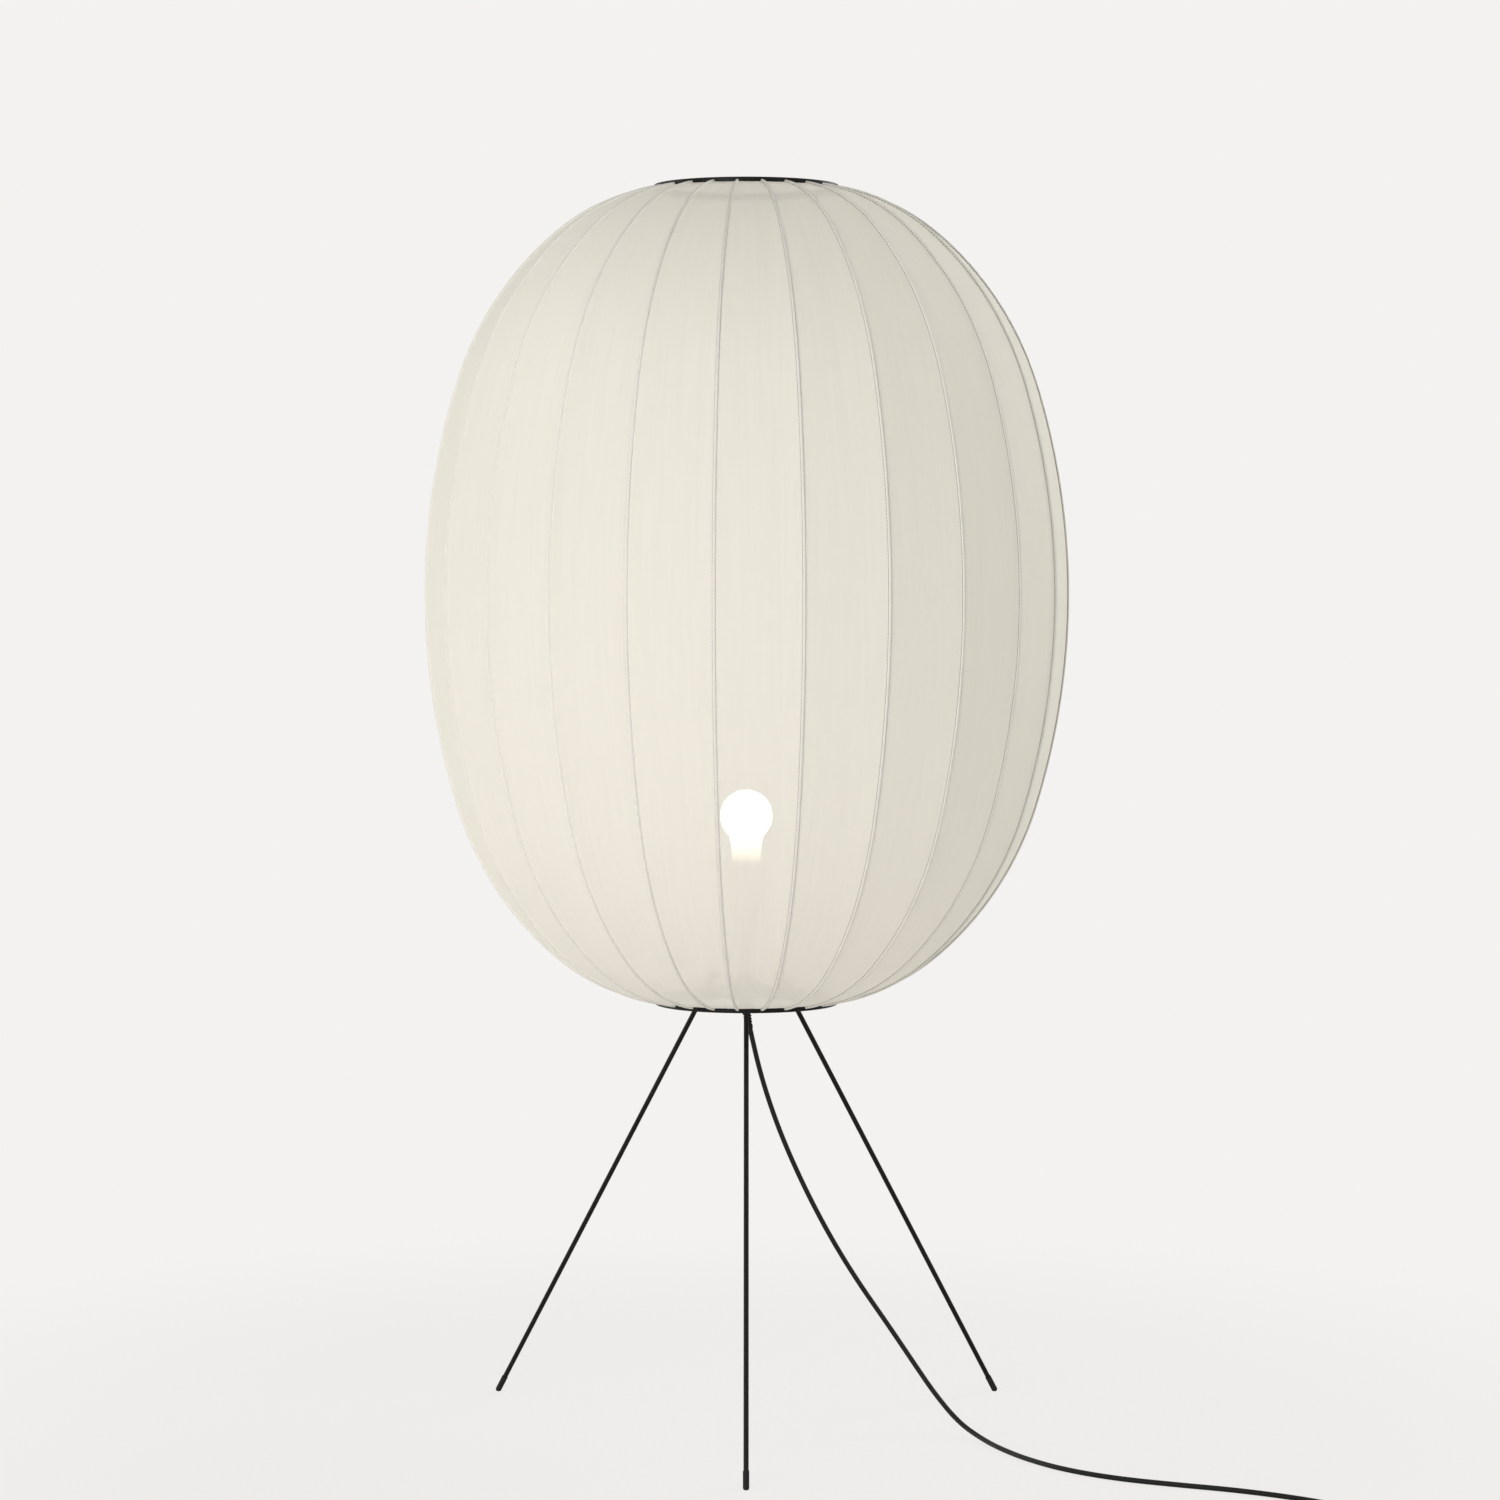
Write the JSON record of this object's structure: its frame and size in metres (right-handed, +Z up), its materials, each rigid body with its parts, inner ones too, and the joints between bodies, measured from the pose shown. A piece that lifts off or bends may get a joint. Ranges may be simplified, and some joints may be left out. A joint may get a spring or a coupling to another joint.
{
  "type": "floor lamp",
  "caption": "Floor lamp with a tall rounded knitted shade stretched over thin bowed ribs between two rings, on slim rod legs, with a screw-in globe bulb and a corded switch.",
  "frame": {"origin": "on the floor, under the shade's axis", "axes": "+Z up along the shade's axis, -Y towards the front leg, +X to the right of it"},
  "size_m": [0.8765, 0.8181, 1.25],
  "materials": {
    "knit": "matt ribbed knit",
    "rib_coat": "cream coated wire",
    "black_steel": "satin black powder coat",
    "screw_steel": "zinc plated",
    "black_rubber": "matt",
    "black_cord": "matt sheath",
    "holder_plastic": "moulded",
    "insert_plastic": "moulded",
    "brass": "drawn",
    "bulb_glass": "frosted white",
    "bulb_metal": "drawn",
    "black_plastic": "moulded",
    "strap": "hook and loop strap",
    "pin_metal": "nickel plated"
  },
  "bodies": {
    "lamp": {"knit_panels": "knit", "knit_channels": "knit", "rib_01": "rib_coat", "rib_02": "rib_coat", "rib_03": "rib_coat", "rib_04": "rib_coat", "rib_05": "rib_coat", "rib_06": "rib_coat", "rib_07": "rib_coat", "rib_08": "rib_coat", "rib_09": "rib_coat", "rib_10": "rib_coat", "rib_11": "rib_coat", "rib_12": "rib_coat", "rib_13": "rib_coat", "rib_14": "rib_coat", "rib_15": "rib_coat", "rib_16": "rib_coat", "rib_17": "rib_coat", "rib_18": "rib_coat", "rib_19": "rib_coat", "rib_20": "rib_coat", "rib_21": "rib_coat", "rib_22": "rib_coat", "rib_23": "rib_coat", "rib_24": "rib_coat", "top_ring": "black_steel", "bottom_ring": "black_steel", "bottom_spider": "black_steel", "tripod_head": "black_steel", "leg_front": "black_steel", "leg_left": "black_steel", "leg_right": "black_steel", "spider_screws": "screw_steel", "leg_grub_screws": "screw_steel", "stem_nuts": "screw_steel", "stem_tube": "screw_steel", "switch_screws": "screw_steel", "leg_tips": "black_rubber", "cord_gland": "black_rubber", "cord_drop": "black_cord", "cord_run": "black_cord", "cord_coil": "black_cord", "cord_inner": "black_cord", "holder_cap": "holder_plastic", "holder_skirt": "holder_plastic", "holder_insert": "insert_plastic", "switch_block": "insert_plastic", "screw_shell": "brass", "centre_contact": "brass", "switch_base": "black_plastic", "switch_cover": "black_plastic", "plug_body": "black_plastic", "coil_tie": "strap", "plug_pins": "pin_metal"},
    "bulb_lift": {"bulb_tip": "bulb_metal"},
    "bulb": {"bulb_glass": "bulb_glass", "bulb_cap": "bulb_metal"},
    "switch_button": {"switch_button": "black_plastic"}
  },
  "joints": [
    {"name": "bulb_rise", "type": "slide", "parent": "lamp", "child": "bulb_lift", "axis": [0, 0, 1], "range_m": [0, 0.00726]},
    {"name": "bulb_turn", "type": "hinge", "parent": "bulb_lift", "child": "bulb", "pos_m": [0, 0, 0.557], "axis": [0, 0, 1], "range_deg": [0, 720]},
    {"name": "switch_press", "type": "slide", "parent": "lamp", "child": "switch_button", "axis": [0, 0, 1], "range_m": [-0.0025, 0], "stiffness_N_per_m": 600, "springref_m": 0.001}
  ],
  "couplings": [
    {"joint": "bulb_rise", "follows": "bulb_turn", "m_per_rad": 0.00057757}
  ]
}
